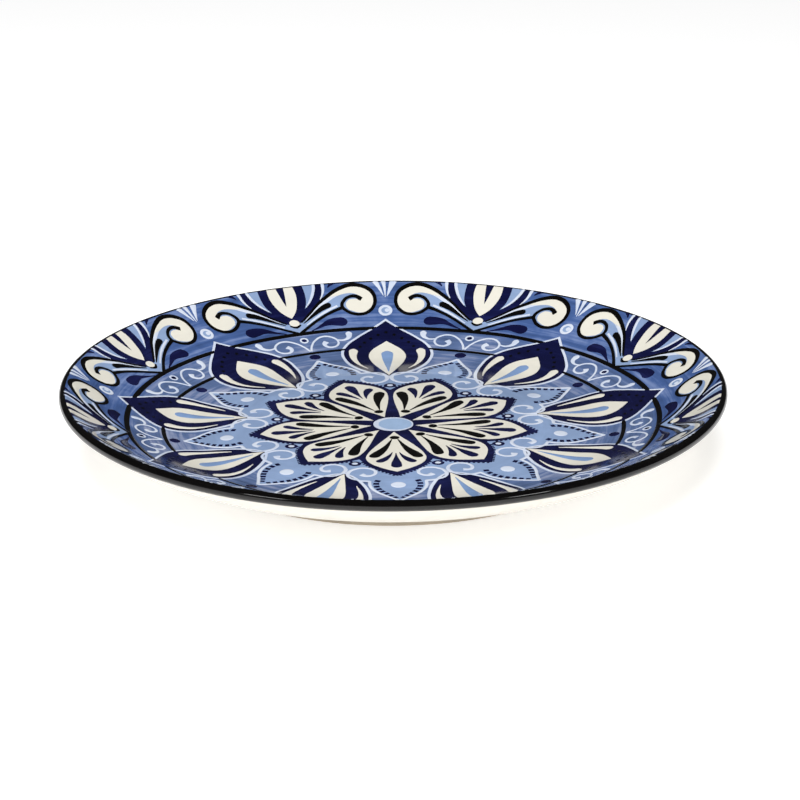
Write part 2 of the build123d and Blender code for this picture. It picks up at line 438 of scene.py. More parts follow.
def painted(name, parts, lift, material, nodes, offset=None):
    """Joins the parts of one repeat, repeats them, lays them down and names them."""
    whole = bmesh.new()
    for part in parts:
        shared(whole, part)
    if offset is not None:
        whole = nine_times(whole, offset)
    return finish_piece(laid(whole, lift), name, material, nodes)


def wreath(half):
    """One closed outline of nine repeats, from half a repeat.

    half runs from its middle line on a petal's line to a leaf's line.
    """
    outline = []
    for index in range(REPEATS):
        middle = radians(90 + ODD - STEP_ANGLE * index)
        left = [(-x, y, *rest) for x, y, *rest in half[:0:-1]]
        for x, y, *rest in left + list(half):
            turn = middle - pi / 2
            spot = (x * cos(turn) - y * sin(turn), x * sin(turn) + y * cos(turn))
            outline.append((*spot, *rest))
    return outline


# Layers of colour, millimetres above the wash

LIFT_WASH = 0.0
LIFT_FIRST = 0.07
LIFT_SECOND = 0.14
LIFT_THIRD = 0.21
LIFT_FOURTH = 0.28


# Materials

def node(tree, kind, place=(0, 0), **settings):
    made = tree.nodes.new(kind)
    made.location = place
    for key, value in settings.items():
        setattr(made, key, value)
    return made


def math_node(tree, operation, first, second=None, clamp=False):
    """A Math node whose inputs are sockets or numbers."""
    made = node(tree, "ShaderNodeMath", operation=operation, use_clamp=clamp)
    for socket, value in zip(made.inputs, (first, second)):
        if isinstance(value, (int, float)):
            socket.default_value = value
        elif value is not None:
            tree.links.new(value, socket)
    return made.outputs[0]


def new_group(name, inputs, outputs):
    """A shader node group with named sockets, each (name, type, default)."""
    group = bpy.data.node_groups.new(name, "ShaderNodeTree")
    for label, kind, default in inputs:
        socket = group.interface.new_socket(name=label, in_out="INPUT", socket_type=kind)
        if default is not None:
            socket.default_value = default
    for label, kind in outputs:
        group.interface.new_socket(name=label, in_out="OUTPUT", socket_type=kind)
    return group, group.nodes.new("NodeGroupInput"), group.nodes.new("NodeGroupOutput")


FLOAT, COLOR = "NodeSocketFloat", "NodeSocketColor"


def mixed(tree, factor, first, second, blend="MIX"):
    """A colour Mix node whose factor and colours are sockets or values."""
    made = node(tree, "ShaderNodeMix", data_type="RGBA", blend_type=blend)
    for socket, value in zip((made.inputs[0], made.inputs[6], made.inputs[7]), (factor, first, second)):
        if isinstance(value, bpy.types.NodeSocket):
            tree.links.new(value, socket)
        else:
            socket.default_value = value
    return made.outputs[2]


def brushwork_group():
    """Colour laid by a turning brush: streaks round the plate and soft pools."""
    group, given, result = new_group(
        "Brushwork",
        [("Colour", COLOR, (0.2, 0.3, 0.6, 1)), ("Thin", COLOR, (0.4, 0.5, 0.8, 1)),
         ("Deep", COLOR, (0.1, 0.1, 0.4, 1)), ("Streaks", FLOAT, 0.5), ("Pools", FLOAT, 0.3),
         ("Fineness", FLOAT, 1.0)],
        [("Colour", COLOR), ("Coverage", FLOAT), ("Radius", FLOAT)],
    )
    links = group.links
    place = node(group, "ShaderNodeTexCoord").outputs["Object"]
    apart = node(group, "ShaderNodeSeparateXYZ")
    links.new(place, apart.inputs[0])
    across = math_node(group, "MULTIPLY", apart.outputs[0], apart.outputs[0])
    ahead = math_node(group, "MULTIPLY", apart.outputs[1], apart.outputs[1])
    radius = math_node(group, "SQRT", math_node(group, "ADD", across, ahead))
    links.new(radius, result.inputs["Radius"])
    safe = math_node(group, "MAXIMUM", radius, 0.004)
    round_x = math_node(group, "DIVIDE", apart.outputs[0], safe)
    round_y = math_node(group, "DIVIDE", apart.outputs[1], safe)
    streak_place = node(group, "ShaderNodeCombineXYZ")
    links.new(math_node(group, "MULTIPLY", round_x, 2.6), streak_place.inputs[0])
    links.new(math_node(group, "MULTIPLY", round_y, 2.6), streak_place.inputs[1])
    fine_radius = math_node(group, "MULTIPLY", radius, 300.0)
    links.new(math_node(group, "MULTIPLY", fine_radius, given.outputs["Fineness"]), streak_place.inputs[2])
    streak = node(group, "ShaderNodeTexNoise")
    streak.inputs["Scale"].default_value = 1.0
    streak.inputs["Detail"].default_value = 5.0
    streak.inputs["Roughness"].default_value = 0.62
    links.new(streak_place.outputs[0], streak.inputs["Vector"])
    pool = node(group, "ShaderNodeTexNoise")
    pool.inputs["Scale"].default_value = 55.0
    pool.inputs["Detail"].default_value = 4.0
    pool.inputs["Distortion"].default_value = 0.6
    links.new(place, pool.inputs["Vector"])

    def spread(value, amount):
        centred = math_node(group, "SUBTRACT", value, 0.5)
        return math_node(group, "MULTIPLY", centred, math_node(group, "MULTIPLY", amount, 4.0))

    both = math_node(
        group, "ADD", spread(streak.outputs["Fac"], given.outputs["Streaks"]),
        spread(pool.outputs["Fac"], given.outputs["Pools"]))
    thin = math_node(group, "MAXIMUM", both, 0.0, clamp=True)
    deep = math_node(group, "MAXIMUM", math_node(group, "MULTIPLY", both, -1.0), 0.0, clamp=True)
    paler = mixed(group, thin, given.outputs["Colour"], given.outputs["Thin"])
    links.new(mixed(group, deep, paler, given.outputs["Deep"]), result.inputs["Colour"])
    links.new(math_node(group, "ADD", both, 0.5, clamp=True), result.inputs["Coverage"])
    return group


def glaze_skin_group():
    """Unevenness of a clear glaze: slow waves, fine orange peel, soft gloss changes."""
    group, given, result = new_group(
        "Glaze skin",
        [("Wave", FLOAT, 0.6), ("Peel", FLOAT, 0.3), ("Gloss", FLOAT, 0.1), ("Gloss change", FLOAT, 0.08)],
        [("Height", FLOAT), ("Roughness", FLOAT)],
    )
    links = group.links
    place = node(group, "ShaderNodeTexCoord").outputs["Object"]
    values = []
    for scale, detail, amount in ((38.0, 2.0, "Wave"), (420.0, 2.0, "Peel")):
        texture = node(group, "ShaderNodeTexNoise")
        texture.inputs["Scale"].default_value = scale
        texture.inputs["Detail"].default_value = detail
        links.new(place, texture.inputs["Vector"])
        values.append(math_node(group, "MULTIPLY", texture.outputs["Fac"], given.outputs[amount]))
    links.new(math_node(group, "ADD", *values), result.inputs["Height"])
    patch = node(group, "ShaderNodeTexNoise")
    patch.inputs["Scale"].default_value = 90.0
    patch.inputs["Detail"].default_value = 3.0
    links.new(place, patch.inputs["Vector"])
    change = math_node(group, "MULTIPLY", patch.outputs["Fac"], given.outputs["Gloss change"])
    links.new(math_node(group, "ADD", given.outputs["Gloss"], change), result.inputs["Roughness"])
    return group


GROUPS = {}


def group_named(name):
    makers = {"Brushwork": brushwork_group, "Glaze skin": glaze_skin_group}
    if name not in GROUPS:
        GROUPS[name] = makers[name]()
    return GROUPS[name]


def scaled(value, factor):
    return (*[min(1.0, part * factor) for part in value[:3]], 1)


def toward(value, other, share):
    return (*[a + (b - a) * share for a, b in zip(value[:3], other[:3])], 1)


MARK_DULLING = 0.04           # a mark's gloss is duller than the glaze's clearest patches by this


def glazed(name, base, thin, deep, streaks=0.4, pools=0.3, fineness=1.0, gloss=0.05, peel=0.06,
           skin=True):
    """A painted colour under clear glaze, with its own brushwork.

    A wide coat has the glaze's skin as well; a small mark is raised paint with an even gloss.
    """
    material = bpy.data.materials.new(name)
    material.use_nodes = True
    tree = material.node_tree
    shader = tree.nodes["Principled BSDF"]
    shader.inputs["IOR"].default_value = 1.5
    brush = node(tree, "ShaderNodeGroup", (-520, 120), node_tree=group_named("Brushwork"))
    brush.inputs["Colour"].default_value = base
    brush.inputs["Thin"].default_value = thin
    brush.inputs["Deep"].default_value = deep
    brush.inputs["Streaks"].default_value = streaks
    brush.inputs["Pools"].default_value = pools
    brush.inputs["Fineness"].default_value = fineness
    tree.links.new(brush.outputs["Colour"], shader.inputs["Base Color"])
    if not skin:
        shader.inputs["Roughness"].default_value = gloss + MARK_DULLING
        return material
    coat = node(tree, "ShaderNodeGroup", (-520, -200), node_tree=group_named("Glaze skin"))
    coat.inputs["Gloss"].default_value = gloss
    coat.inputs["Wave"].default_value = 0.25
    coat.inputs["Peel"].default_value = peel
    tree.links.new(coat.outputs["Roughness"], shader.inputs["Roughness"])
    bump = node(tree, "ShaderNodeBump", (-260, -200))
    bump.inputs["Strength"].default_value = 0.35
    bump.inputs["Distance"].default_value = 0.0006
    tree.links.new(coat.outputs["Height"], bump.inputs["Height"])
    tree.links.new(bump.outputs["Normal"], shader.inputs["Normal"])
    return material


PAINTS = {}


def paint(name, skin=True):
    """The material of a named colour, made once, for a wide coat or for small marks."""
    key = name if skin else name + " mark"
    if key not in PAINTS:
        PAINTS[key] = PAINT_MAKERS[name](key, skin)
    return PAINTS[key]


def mark(name):
    return paint(name, skin=False)


def wash_paint(name, skin):
    """The brushed ground: full outside the black circles, thin and greyer inside them."""
    base = colours().wash
    material = glazed(
        name, base, toward(base, (0.36, 0.46, 0.74), 0.7), scaled(base, 0.52),
        streaks=0.75, pools=0.55, fineness=1.5, skin=skin)
    tree = material.node_tree
    brush = next(each for each in tree.nodes if each.type == "GROUP" and "Radius" in each.outputs)
    inward = node(tree, "ShaderNodeMapRange", (-520, 420), interpolation_type="SMOOTHSTEP")
    inward.inputs["From Min"].default_value = 0.109
    inward.inputs["From Max"].default_value = 0.103
    tree.links.new(brush.outputs["Radius"], inward.inputs["Value"])
    pale = colours().pale_wash
    ratio = (*[thin / full for thin, full in zip(pale[:3], base[:3])], 1)
    tint = mixed(tree, inward.outputs[0], (1, 1, 1, 1), ratio)
    washed = mixed(tree, 1.0, brush.outputs["Colour"], tint, blend="MULTIPLY")
    tree.links.new(washed, tree.nodes["Principled BSDF"].inputs["Base Color"])
    return material


def light_blue_paint(name, skin):
    base = colours().light_blue
    return glazed(name, base, scaled(base, 1.35), scaled(base, 0.78), streaks=0.3, pools=0.4, skin=skin)


def drop_blue_paint(name, skin):
    base = colours().drop_blue
    return glazed(name, base, scaled(base, 1.3), scaled(base, 0.8), streaks=0.3, pools=0.4, skin=skin)


def centre_blue_paint(name, skin):
    base = colours().centre_blue
    return glazed(name, base, scaled(base, 1.2), scaled(base, 0.85), streaks=0.3, pools=0.4, skin=skin)


def navy_paint(name, skin):
    base = colours().navy
    return glazed(
        name, base, toward(base, (0.02, 0.028, 0.14), 0.8), scaled(base, 0.5), streaks=0.5, pools=0.5,
        fineness=1.4, skin=skin)


def black_paint(name, skin):
    base = colours().black
    return glazed(name, base, scaled(base, 2.2), scaled(base, 0.5), streaks=0.4, pools=0.4, skin=skin)


def cream_paint(name, skin):
    base = colours().cream
    return glazed(name, base, scaled(base, 1.1), scaled(base, 0.88), streaks=0.25, pools=0.3, skin=skin)


def white_paint(name, skin):
    base = colours().white
    return glazed(
        name, base, scaled(base, 1.1), toward(base, (0.45, 0.55, 0.78), 0.8), streaks=0.35, pools=0.6,
        skin=skin)


def outside_paint(name, skin):
    base = colours().glaze
    return glazed(
        name, base, scaled(base, 1.04), scaled(base, 0.9), streaks=0.35, pools=0.3, fineness=0.5,
        gloss=0.12, skin=skin)


def clay_paint(name, skin):
    """Bare fired clay: matt, speckled, with fine turning lines."""
    base = colours().clay
    material = glazed(
        name, base, scaled(base, 1.2), scaled(base, 0.7), streaks=0.6, pools=0.6, fineness=3.0,
        gloss=0.62, peel=2.0, skin=skin)
    material.node_tree.nodes["Principled BSDF"].inputs["Specular IOR Level"].default_value = 0.25
    return material


PAINT_MAKERS = {
    "wash": wash_paint, "light_blue": light_blue_paint, "drop_blue": drop_blue_paint,
    "centre_blue": centre_blue_paint, "navy": navy_paint, "black": black_paint,
    "cream": cream_paint, "white": white_paint, "outside": outside_paint, "clay": clay_paint,
}


# Operators: one for each piece or group of like pieces

class PLATE_OT_clay_body(bpy.types.Operator):
    """Turns the clay body with its well, wall, lip and foot"""

    bl_idname = "plate.clay_body"
    bl_label = "Clay body"

    def execute(self, context):
        face = face_line(COAT, 131.0)
        inside = BASE_HEIGHT + COAT
        side = FOOT_OUTER - COAT
        foot = [
            (side + 0.4, OUTSIDE[-1][1] - 0.6), (side, OUTSIDE[-1][1] - 1.6), (side, BARE_FOOT),
            (side + 0.15, BARE_FOOT - 0.3), (side + 0.15, 0.6), (side, 0.22), (side - 0.4, 0.04),
            (side - 1.0, 0),
            (FOOT_INNER + 0.9, 0), (FOOT_INNER + 0.3, 0.15), (FOOT_INNER, 0.7),
            (FOOT_INNER - 1.5, inside - 0.6), (FOOT_INNER - 2.6, inside), (0, inside),
        ]
        outline = face + lip_arc(COAT) + outside_line(COAT)[1:] + foot
        finish_piece(turned(outline), "clay_foot_and_body", paint("clay"), ["clay_body"])
        return {"FINISHED"}


class PLATE_OT_outside_glaze(bpy.types.Operator):
    """Glazes the outside of the wall, the foot's side and the base"""

    bl_idname = "plate.outside_glaze"
    bl_label = "Outside glaze"

    def execute(self, context):
        root = OUTSIDE[-1][1] - 1.6
        outer = outside_line(0) + [
            (FOOT_OUTER + 0.8, root + 0.7), (FOOT_OUTER + 0.15, root), (FOOT_OUTER, root - 0.9),
            (FOOT_OUTER, BARE_FOOT + 0.25), (FOOT_OUTER - 0.2, BARE_FOOT)]
        inner = outside_line(COAT) + [(FOOT_OUTER - COAT + 0.4, root + 0.9), (FOOT_OUTER - COAT, root)]
        inner.append((FOOT_OUTER - COAT, BARE_FOOT))
        finish_piece(
            turned(outer + inner[::-1]), "outside_glaze_coat", paint("outside"),
            ["outside_glaze"])
        edge = FOOT_INNER - 1.9
        base = [(0, BASE_HEIGHT), (edge - 1, BASE_HEIGHT), (edge - 0.2, BASE_HEIGHT + 0.1),
                (edge, BASE_HEIGHT + COAT * 0.6), (edge, BASE_HEIGHT + COAT), (0, BASE_HEIGHT + COAT)]
        finish_piece(turned(base), "base_glaze_coat", paint("outside"), ["base_glaze"])
        return {"FINISHED"}


class PLATE_OT_wash(bpy.types.Operator):
    """Lays the blue wash over the whole inside face"""

    bl_idname = "plate.wash"
    bl_label = "Face wash"

    def execute(self, context):
        upper = face_line(0, PAINT_EDGE)
        lower = face_line(COAT, PAINT_EDGE)
        finish_piece(turned(upper + lower[::-1]), "brushed_face_wash", paint("wash"), ["face_wash"])
        return {"FINISHED"}


LIP_BAND = (99, -66)          # from just inside the lip's top to its underside, degrees
LIP_BAND_RISE = 0.18          # it covers the ends of the painted strokes


class PLATE_OT_lip(bpy.types.Operator):
    """Runs the black band round the lip"""

    bl_idname = "plate.lip"
    bl_label = "Lip band"

    def execute(self, context):
        start, end = LIP_BAND
        proud = lip_arc(-LIP_BAND_RISE, start - 3, end + 3)
        outer = [lip_point(radians(start), 0.05)] + proud + [lip_point(radians(end), 0.05)]
        inner = lip_arc(COAT, start, end)
        finish_piece(turned(outer + inner[::-1]), "black_lip_band", paint("black"), ["lip_band"])
        return {"FINISHED"}


PETAL_HALF = [
    (0, 9.2, 0), (2.6, 15), (5.4, 20.5), (8.5, 27), (11.0, 33.5), (11.9, 39), (10.3, 44.6), (5.9, 50.0),
    (0, 54.6, 0),
]
STAR_HALF = [
    (0, 59.1, 0), (4.2, 55.3), (8.4, 51.2), (12.0, 46.1), (13.8, 41.8), (14.5, 39.9, 0),
]
STAR_EDGE = [(0.5, 58.9), (4.2, 55.4), (8.4, 51.3), (12.0, 46.3), (13.8, 42.0)]


class PLATE_OT_flower(bpy.types.Operator):
    """Paints the nine petalled flower in the well"""

    bl_idname = "plate.flower"
    bl_label = "Flower"

    def execute(self, context):
        navy, cream, black = mark("navy"), mark("cream"), mark("black")
        teeth = ticks(STAR_EDGE, 1.9, 1.0, 1.3, out=0.1)
        painted(
            "flower_ground_star", [filled(wreath(STAR_HALF))], LIFT_SECOND, navy, ["flower_ground"])
        painted(
            "flower_ground_teeth", [with_mirror(teeth)], LIFT_SECOND - 0.03, navy,
            ["flower_ground"], ODD)
        painted(
            "cream_petals", [filled(mirrored(PETAL_HALF))], LIFT_THIRD, cream, ["flower_petals"], ODD)
        painted(
            "petal_eye_dots", [dots((0, 16.1, 2.0, 1.8))], LIFT_THIRD, black, ["petal_eyes"], ODD)
        long_stroke = strokes(
            [(8.6, 36.6, 4.3), (7.2, 34.0, 4.4), (5.4, 30.6, 3.5), (3.6, 26.2, 2.2), (2.3, 22.0, 1.2),
             (1.2, 18.0, 0.4)])
        painted(
            "long_petal_strokes", [with_mirror(long_stroke)], LIFT_THIRD, black,
            ["petal_long_strokes"], ODD)
        middle = strokes([(0, 48.0, 4.4), (0, 44.4, 3.9), (0, 40.6, 2.3), (0, 37.2, 1.1), (0, 33.6, 0.3)])
        beside = strokes(
            [(6.3, 42.6, 3.5), (5.0, 41.0, 3.3), (3.5, 38.4, 2.2), (2.3, 35.8, 1.2), (1.4, 32.8, 0.3)])
        painted(
            "short_petal_strokes", [middle, with_mirror(beside)], LIFT_THIRD, navy,
            ["petal_short_strokes"], ODD)
        white_disc = [(8.1 * sin(radians(a)), 8.1 * cos(radians(a))) for a in range(0, 360, 45)]
        painted(
            "centre_white", [filled(white_disc, smooth=12)], LIFT_THIRD, mark("white"),
            ["flower_centre"])
        blue_disc = [(0.8 + 6.7 * sin(radians(a)), 6.7 * cos(radians(a))) for a in range(0, 360, 45)]
        painted(
            "centre_disc", [filled(blue_disc, smooth=12)], LIFT_FOURTH, mark("centre_blue"),
            ["flower_centre"])
        return {"FINISHED"}


MEDALLION_HALF = [
    (0, 85.4, 0), (4.3, 79.8), (8.3, 74.6), (10.4, 69.4), (10.7, 64.4, 0), (15.2, 62.9), (18.3, 60.2),
    (20.2, 55.6, 0),
]
LAPPET_LINE = [(0, 85.9), (4.4, 80.1), (8.6, 74.8), (10.8, 69.4), (11.0, 64.2)]
DOT_LINE = [(0.9, 82.6), (4.0, 78.2), (6.9, 73.9), (8.4, 69.6), (8.3, 65.4), (7.0, 62.6)]
CURL = [
    (10.9, 64.3, 1.4), (15.2, 63.2, 1.5), (18.9, 59.9, 1.7), (19.0, 54.8, 1.7), (16.4, 51.1, 1.5),
    (12.4, 50.0, 1.4), (9.2, 51.9, 1.4), (8.3, 55.2, 1.4), (9.6, 58.0, 1.5), (12.0, 58.8, 2.1),
    (13.9, 57.2, 2.9),
]


class PLATE_OT_medallion(bpy.types.Operator):
    """Paints the light medallion round the flower: lappets, pearls, curls and ringlets"""

    bl_idname = "plate.medallion"
    bl_label = "Medallion"

    def execute(self, context):
        white, navy = mark("white"), mark("navy")
        painted(
            "medallion_ground", [filled(wreath(MEDALLION_HALF))], LIFT_FIRST, mark("light_blue"),
            ["lappets"])
        line = [(x, y, 1.35) for x, y in LAPPET_LINE]
        painted(
            "lappet_white_lines", [with_mirror(strokes(line, heads=False))], LIFT_FIRST, white,
            ["lappet_outlines"], ODD)
        painted(
            "lappet_square_dots", [with_mirror(ticks(DOT_LINE, 2.75, 1.75, 2.3))], LIFT_FIRST, navy,
            ["lappets"], ODD)
        painted(
            "white_pearls", [dots((0, 68.2, 2.95, 2.8))], LIFT_FIRST, white, ["lappet_pearls"], ODD)
        painted(
            "navy_top_dots", [dots((0, 89.8, 2.45, 2.2))], LIFT_WASH, navy, ["lappet_top_dots"], ODD)
        ringlet = [(1.8 * sin(radians(a)), 47.8 + 1.8 * cos(radians(a)), 1.5) for a in range(0, 360, 45)]
        painted(
            "navy_ringlets", [strokes(ringlet, heads=False, closed=True)], LIFT_FIRST, navy,
            ["ringlets"], EVEN)
        painted(
            "ringlet_hearts", [dots((0, 47.8, 1.3, 1.3))], LIFT_FIRST - 0.05, white, ["ringlets"], EVEN)
        painted("white_curls", [with_mirror(strokes(CURL, heads=False))], LIFT_FIRST, white, ["curls"], ODD)
        return {"FINISHED"}


LEAF_BORDER = [
    (0, 58.8, 0), (4.9, 61.8), (10.2, 66.8), (15.2, 74.3), (18.4, 82.1), (19.5, 88.2), (18.0, 94.5),
    (13.0, 101.1), (6.5, 107.4), (0, 113.8, 0),
]
LEAF = [
    (0, 60.0, 0), (4.5, 63.0), (9.2, 67.8), (14.0, 75.0), (17.2, 82.4), (18.3, 88.2), (16.8, 94.2),
    (12.0, 100.6), (6.0, 106.4), (0, 112.3, 0),
]
HEART = [
    (0, 60.4, 0), (1.9, 65.5), (4.6, 73.2), (7.0, 81.0), (7.7, 86.2), (6.2, 91.2), (3.4, 94.8),
    (0, 98.2, 0),
]


class PLATE_OT_leaves(bpy.types.Operator):
    """Paints the nine navy leaves with their hearts, drops and strokes"""

    bl_idname = "plate.leaves"
    bl_label = "Leaves"

    def execute(self, context):
        white = mark("white")
        painted(
            "leaf_white_borders", [filled(mirrored(LEAF_BORDER))], LIFT_SECOND, white,
            ["leaf_outlines"], EVEN)
        painted("navy_leaves", [filled(mirrored(LEAF))], LIFT_THIRD, mark("navy"), ["leaves"], EVEN)
        painted(
            "cream_hearts", [filled(mirrored(HEART))], LIFT_FOURTH, mark("cream"), ["leaf_hearts"], EVEN)
        drop = strokes([(0, 87.6, 5.0), (0, 82.6, 4.3), (0, 76.0, 2.7), (0, 70.4, 1.3), (0, 65.6, 0.4)])
        painted("heart_drops", [drop], LIFT_FOURTH, mark("drop_blue"), ["leaf_heart_drops"], EVEN)
        comma = strokes(
            [(14.2, 90.0, 3.9), (14.4, 86.4, 3.1), (13.6, 81.6, 2.2), (11.6, 76.2, 1.3), (8.4, 70.6, 0.4)])
        painted("leaf_commas", [with_mirror(comma)], LIFT_THIRD, mark("cream"), ["leaf_strokes"], EVEN)
        arch = [(0, 104.6, 0.75, 0.75)]
        for x, y in ((3.4, 102.8), (6.6, 100.2), (9.3, 97.2), (11.3, 93.9)):
            arch += [(x, y, 0.75, 0.75), (-x, y, 0.75, 0.75)]
        painted(
            "leaf_tip_dots", [dots(*arch, sides=12)], LIFT_THIRD - 0.03, mark("black"), ["leaves"], EVEN)
        return {"FINISHED"}


def arc_line(radius, reach, width):
    """A stroke along a circle about the plate's axis, reach degrees each way."""
    steps = 8
    angles = [radians(reach * (2 * i / steps - 1)) for i in range(steps + 1)]
    return [(radius * sin(a), radius * cos(a), width) for a in angles]


RING_SCROLL = [
    (0.2, 94.9, 1.0), (1.8, 98.8, 0.9), (4.8, 102.4, 0.9), (8.8, 104.1, 0.95), (12.4, 102.7, 0.95),
    (14.1, 99.6, 0.95), (13.2, 96.9, 0.95), (10.8, 95.7, 1.0), (8.3, 96.5, 1.3), (7.6, 98.7, 1.9),
    (8.9, 100.1, 2.5),
]
SCROLL_TAIL = [
    (20.5, 102.9, 2.9), (19.8, 100.9, 2.1), (17.9, 99.6, 1.3), (15.8, 99.5, 0.9), (14.0, 100.3, 0.7),
]


class PLATE_OT_lines(bpy.types.Operator):
    """Draws the two black circles and the white scrolls between them"""

    bl_idname = "plate.lines"
    bl_label = "Circles and scrolls"

    def execute(self, context):
        black, white = mark("black"), mark("white")
        inner = strokes(arc_line(93.3, 9.6, 1.8), heads=False)
        painted("inner_black_circle", [inner], LIFT_WASH, black, ["inner_line"], ODD)
        outer = strokes(arc_line(107.9, 17.8, 2.2), heads=False)
        painted("outer_black_circle", [outer], LIFT_WASH, black, ["outer_line"], ODD)
        painted(
            "white_ring_scrolls", [with_mirror(strokes(RING_SCROLL, heads=False))], LIFT_WASH, white,
            ["ring_scrolls"], ODD)
        painted(
            "white_scroll_tails", [with_mirror(strokes(SCROLL_TAIL))], LIFT_WASH, white,
            ["ring_scroll_tails"], ODD)
        ring = [(1.5 * sin(radians(a)), 103.2 + 1.5 * cos(radians(a)), 0.8) for a in range(0, 360, 45)]
        painted(
            "small_white_rings", [strokes(ring, heads=False, closed=True)], LIFT_WASH, white,
            ["ring_scrolls"], ODD)
        painted(
            "small_navy_dots", [dots((0, 103.2, 1.05, 1.0))], LIFT_WASH, mark("navy"), ["ring_scrolls"], ODD)
        return {"FINISHED"}


FAN_GROUND = [
    (0, 112.9, 0), (4.6, 115.6), (8.4, 118.2), (11.2, 120.3), (14.3, 122.8), (17.0, 125.4), (18.4, 128.4),
    (19.3, 131.7, 0), (10, 132.7), (0, 133.1, 0),
]
TULIP = [
    (0, 117.5, 0), (1.5, 118.9), (3.5, 121.4), (5.0, 124.5), (5.9, 127.4), (6.1, 130.0), (5.8, 132.9, 0),
    (0, 133.1, 0),
]
TULIP_WEDGE = [(0, 123.6, 0), (0.7, 126.6), (1.3, 129.7), (1.8, 133.1, 0), (0, 133.1, 0)]
FAN_PETAL = [
    (7.5, 121.4, 0), (9.0, 124.0), (9.8, 126.8), (10.1, 129.6), (10.1, 132.6, 0), (15.1, 132.2, 0),
    (14.5, 130.1), (13.0, 127.4), (11.0, 124.7), (8.9, 122.4),
]


class PLATE_OT_palmettes(bpy.types.Operator):
    """Paints the palmettes that fan out to the lip, with their beads"""

    bl_idname = "plate.palmettes"
    bl_label = "Palmettes"

    def execute(self, context):
        white, navy = mark("white"), mark("navy")
        painted("navy_fans", [filled(mirrored(FAN_GROUND))], LIFT_FIRST, navy, ["palmette_hearts"], ODD)
        painted(
            "cream_tulips", [filled(mirrored(TULIP))], LIFT_SECOND, mark("cream"), ["palmette_hearts"], ODD)
        painted(
            "navy_tulip_wedges", [filled(mirrored(TULIP_WEDGE))], LIFT_THIRD, navy, ["palmette_hearts"], ODD)
        painted(
            "light_fan_petals", [with_mirror(filled(FAN_PETAL))], LIFT_SECOND, mark("light_blue"),
            ["palmette_petals"], ODD)
        lines = strokes(
            [(8.3, 122.0, 0.4), (11.1, 124.7, 0.9), (13.2, 127.3, 1.2), (14.7, 130.0, 1.3), (15.4, 132.4, 1.4)],
            [(15.6, 124.4, 0.3), (17.0, 125.9, 0.7), (18.2, 127.8, 1.1), (18.9, 129.9, 1.4), (19.4, 132.2, 1.6)],
            heads=False)
        painted("white_fan_lines", [with_mirror(lines)], LIFT_SECOND, white, ["palmette_petals"], ODD)
        leaf = strokes([(25.2, 130.9, 1.0), (22.8, 130.3, 1.4), (20.8, 129.0, 0.5)], heads=False)
        painted("rim_navy_slips", [with_mirror(leaf)], LIFT_WASH, navy, ["palmette_petals"], ODD)
        painted("white_beads", [dots((0.1, 114.7, 2.25, 1.85))], LIFT_SECOND, mark("cream"), ["palmette_beads"], ODD)
        cup = strokes([(-2.3, 113.4, 0.8), (0.1, 112.2, 1.3), (2.4, 113.4, 0.8)], heads=False)
        painted("bead_cups", [cup], LIFT_SECOND, mark("black"), ["palmette_beads"], ODD)
        return {"FINISHED"}


SCROLL_GROUND = [
    (0, 108.4, 0), (5.7, 111.9), (11.8, 115.2), (18.0, 117.3), (23.5, 118.4, 0), (24.6, 116.2), (27.2, 113.8),
    (30.6, 112.7), (34.0, 113.3), (36.8, 115.5), (38.5, 118.7), (38.3, 121.4), (36.2, 124.4), (33.0, 126.6),
    (28.8, 127.6), (24.0, 126.7), (18.4, 124.8), (12.8, 121.7), (8.4, 118.5), (4.4, 115.6), (0, 112.8, 0),
]
SCROLL_CREAM = [
    (28.4, 118.3, 6.2), (31.5, 117.0, 7.3), (34.2, 118.0, 6.4), (35.3, 120.4, 5.2), (34.2, 122.9, 4.2),
    (31.2, 124.9, 3.2), (27.2, 125.6, 2.4), (22.0, 124.8, 1.6), (17.0, 123.1, 0.4),
]
SCROLL_OUTLINE = [
    (3.2, 114.7, 0.8), (8.4, 118.4, 1.1), (14.2, 122.6, 1.3), (20.7, 125.8, 1.6), (25.4, 127.2, 1.8),
    (29.8, 127.7, 1.9), (33.4, 126.7, 1.9), (36.6, 124.3, 1.8), (38.3, 121.5, 1.7), (38.4, 118.7, 1.6),
    (36.9, 115.4, 1.5), (34.0, 113.2, 1.5), (30.8, 112.6, 1.5), (27.2, 113.8, 1.5), (24.6, 116.4, 1.5),
    (23.6, 118.8, 1.6), (25.3, 121.4, 1.4), (28.2, 122.5, 1.4), (31.0, 121.9, 1.6), (32.8, 119.8, 2.3),
]
STEM_LINE = [
    (23.5, 118.3, 1.6), (18.0, 117.2, 1.4), (11.8, 115.0, 1.3), (5.7, 111.7, 1.3), (0.6, 108.3, 1.5),
]
STEM_DROP = [
    (18.0, 120.9, 2.6), (15.3, 120.2, 2.5), (12.6, 119.0, 2.0), (9.0, 117.0, 1.3), (4.0, 114.0, 0.4),
]
STEM_SHINES = (
    [(5.0, 112.8, 0.5), (10.5, 115.9, 0.9), (16.0, 118.2, 1.1), (21.6, 119.7, 0.9)],
    [(5.6, 115.6, 0.4), (9.6, 118.4, 0.8), (14.2, 121.4, 1.2), (18.2, 123.2, 1.5), (22.6, 124.7, 1.3),
     (27.0, 125.4, 0.5)],
)
COMMA = [
    (20.4, 111.2, 5.2), (17.6, 111.9, 4.6), (14.9, 112.1, 3.4), (12.2, 111.4, 2.0), (9.0, 110.1, 1.1),
    (5.6, 108.9, 0.4),
]
RAYS = (
    [(-4.3, 132.7, 2.5), (-2.5, 129.4, 1.3), (-0.8, 125.9, 0.3)],
    [(-0.7, 133.0, 2.1), (-0.3, 129.4, 1.1), (0.0, 125.3, 0.3)],
    [(3.8, 132.8, 3.2), (2.2, 129.4, 1.7), (0.7, 125.7, 0.3)],
)


